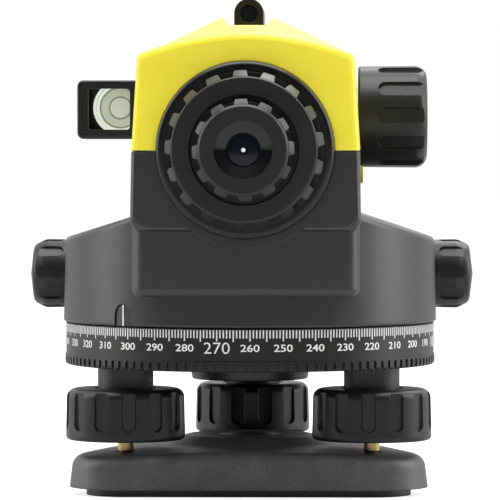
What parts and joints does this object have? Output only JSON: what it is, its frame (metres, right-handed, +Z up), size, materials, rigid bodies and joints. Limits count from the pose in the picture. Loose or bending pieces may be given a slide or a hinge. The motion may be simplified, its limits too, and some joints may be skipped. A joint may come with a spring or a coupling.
{
  "type": "automatic level",
  "caption": "Automatic level for surveying, with a telescope, pendulum compensator, graduated horizontal circle, fine drive and a footscrew base for a tripod.",
  "frame": {"origin": "centre of the foot plate's underside, on the standing axis and the tripod thread's axis", "axes": "+Z up along the standing axis, +Y along the line of sight towards the objective, +X to the observer's right as seen from the eyepiece"},
  "size_m": [0.122, 0.184, 0.1318],
  "materials": {
    "grey_casting": "satin hammered grey paint",
    "foot_casting": "matte textured dark grey paint",
    "yellow_cover": "satin yellow moulded plastic",
    "rubber_black": "satin moulded rubber",
    "black_plastic": "satin black moulded plastic",
    "gloss_black": "polished black",
    "black_anodised": "black anodised",
    "aluminium": "turned",
    "steel": "turned",
    "brass": "turned",
    "bronze": "turned",
    "nylon": "moulded",
    "coated_glass": "coated",
    "smoked_glass": "dark coated",
    "clear_glass": "clear",
    "vial": "clear over a pale base",
    "mirror": "silvered",
    "magnet": "plated"
  },
  "bodies": {
    "foot_plate": {"foot_plate": "foot_casting", "base_plate": "foot_casting", "base_plate_screws": "steel", "tripod_thread_bush": "steel"},
    "back_socket": {"ball_cup_back": "nylon"},
    "back_screw": {"footscrew_knob_back": "rubber_black", "footscrew_spindle_back": "brass"},
    "tribrach": {"tribrach_body": "foot_casting", "footscrew_bushes": "brass", "axis_bush": "bronze", "clutch_sleeve": "nylon"},
    "left_socket": {"ball_cup_left": "nylon"},
    "left_screw": {"footscrew_knob_left": "rubber_black", "footscrew_spindle_left": "brass"},
    "right_socket": {"ball_cup_right": "nylon"},
    "right_screw": {"footscrew_knob_right": "rubber_black", "footscrew_spindle_right": "brass"},
    "circle": {"horizontal_circle": "black_anodised"},
    "worm_wheel": {"worm_wheel": "bronze"},
    "alidade": {"main_housing": "grey_casting", "index_window": "smoked_glass", "top_cover": "yellow_cover", "cover_screws": "steel", "standing_axis": "steel", "drive_bushes": "bronze", "telescope_tube": "black_anodised", "objective_barrel": "black_anodised", "objective_lens_front": "coated_glass", "objective_lens_rear": "coated_glass", "objective_retaining_ring": "black_anodised", "focus_bush": "bronze", "compensator_frame": "aluminium", "fixed_prisms": "clear_glass", "damping_magnets": "magnet", "eyepiece_collar": "black_plastic", "reticle_cell": "brass", "reticle_disc": "clear_glass", "reticle_screws": "steel", "level_housing": "black_plastic", "level_vial": "vial", "level_mirror": "mirror", "sight_body": "black_plastic", "sight_lens": "smoked_glass"},
    "fine_drive": {"worm_shaft": "steel", "drive_knobs": "rubber_black"},
    "focus_carrier": {"focus_carrier": "aluminium", "focusing_lens": "clear_glass"},
    "focus_knob": {"focus_shaft": "steel", "focus_knob": "rubber_black"},
    "pendulum": {"pendulum": "aluminium", "pendulum_prism": "clear_glass", "suspension_tapes": "steel"},
    "reticle_cover": {"reticle_cover_ring": "rubber_black"},
    "eyepiece": {"eyepiece_sleeve": "aluminium", "eye_lens": "smoked_glass", "field_lens": "clear_glass", "eyecup": "gloss_black"},
    "eyepiece_knob": {"eyepiece_knob": "rubber_black"}
  },
  "joints": [
    {"name": "side_tilt", "type": "hinge", "parent": "foot_plate", "child": "back_socket", "pos_m": [0, 0, 0.0064], "axis": [0, 1, 0], "range_deg": [-1.7, 1.7]},
    {"name": "back_footscrew_turn", "type": "hinge", "parent": "back_socket", "child": "back_screw", "pos_m": [0, 0.0378, 0.0064], "axis": [0, 0, 1], "range_deg": [-510, 510]},
    {"name": "fore_tilt", "type": "hinge", "parent": "back_socket", "child": "tribrach", "pos_m": [0, -0.0189, 0.0064], "axis": [1, 0, 0], "range_deg": [-1, 1]},
    {"name": "left_ball_swivel", "type": "hinge", "parent": "foot_plate", "child": "left_socket", "pos_m": [-0.03274, -0.0189, 0.0064], "axis": [0, 1, 0], "range_deg": [-1.85, 1.85]},
    {"name": "left_footscrew_turn", "type": "hinge", "parent": "left_socket", "child": "left_screw", "pos_m": [-0.03274, -0.0189, 0.0064], "axis": [0, 0, 1], "range_deg": [-500, 500]},
    {"name": "right_ball_swivel", "type": "hinge", "parent": "foot_plate", "child": "right_socket", "pos_m": [0.03274, -0.0189, 0.0064], "axis": [0, 1, 0], "range_deg": [-1.85, 1.85]},
    {"name": "right_footscrew_turn", "type": "hinge", "parent": "right_socket", "child": "right_screw", "pos_m": [0.03274, -0.0189, 0.0064], "axis": [0, 0, 1], "range_deg": [-500, 500]},
    {"name": "circle_turn", "type": "hinge", "parent": "tribrach", "child": "circle", "pos_m": [0, 0, 0.0396], "axis": [0, 0, 1], "continuous": true},
    {"name": "coarse_turn", "type": "hinge", "parent": "tribrach", "child": "worm_wheel", "pos_m": [0, 0, 0.0575], "axis": [0, 0, 1], "continuous": true},
    {"name": "fine_turn", "type": "hinge", "parent": "worm_wheel", "child": "alidade", "pos_m": [0, 0, 0.0575], "axis": [0, 0, 1], "continuous": true},
    {"name": "drive_turn", "type": "hinge", "parent": "alidade", "child": "fine_drive", "pos_m": [0, 0.024, 0.0575], "axis": [1, 0, 0], "continuous": true},
    {"name": "focus_slide", "type": "slide", "parent": "alidade", "child": "focus_carrier", "axis": [0, 1, 0], "range_m": [-0.0118, 0.0118]},
    {"name": "focus_turn", "type": "hinge", "parent": "alidade", "child": "focus_knob", "pos_m": [0, 0.012, 0.1006], "axis": [1, 0, 0], "range_deg": [-290, 290]},
    {"name": "compensator_swing", "type": "hinge", "parent": "alidade", "child": "pendulum", "pos_m": [0, -0.02, 0.108], "axis": [1, 0, 0], "range_deg": [-0.5, 0.5]},
    {"name": "reticle_cover_turn", "type": "hinge", "parent": "alidade", "child": "reticle_cover", "pos_m": [0, -0.074, 0.0915], "axis": [0, 1, 0], "range_deg": [-30, 30]},
    {"name": "eyepiece_slide", "type": "slide", "parent": "alidade", "child": "eyepiece", "axis": [0, 1, 0], "range_m": [-0.0012, 0.0012]},
    {"name": "eyepiece_turn", "type": "hinge", "parent": "eyepiece", "child": "eyepiece_knob", "pos_m": [0, -0.086, 0.0915], "axis": [0, 1, 0], "range_deg": [-205, 205]}
  ],
  "couplings": [
    {"joint": "left_ball_swivel", "follows": "side_tilt", "ratio": 1},
    {"joint": "right_ball_swivel", "follows": "side_tilt", "ratio": 1},
    {"joint": "left_footscrew_turn", "follows": "side_tilt", "ratio": -274.25},
    {"joint": "right_footscrew_turn", "follows": "side_tilt", "ratio": 274.25},
    {"joint": "back_footscrew_turn", "follows": "fore_tilt", "ratio": -475.01},
    {"joint": "drive_turn", "follows": "fine_turn", "ratio": -48},
    {"joint": "focus_turn", "follows": "focus_slide", "rad_per_m": 400},
    {"joint": "eyepiece_turn", "follows": "eyepiece_slide", "rad_per_m": 2618}
  ]
}
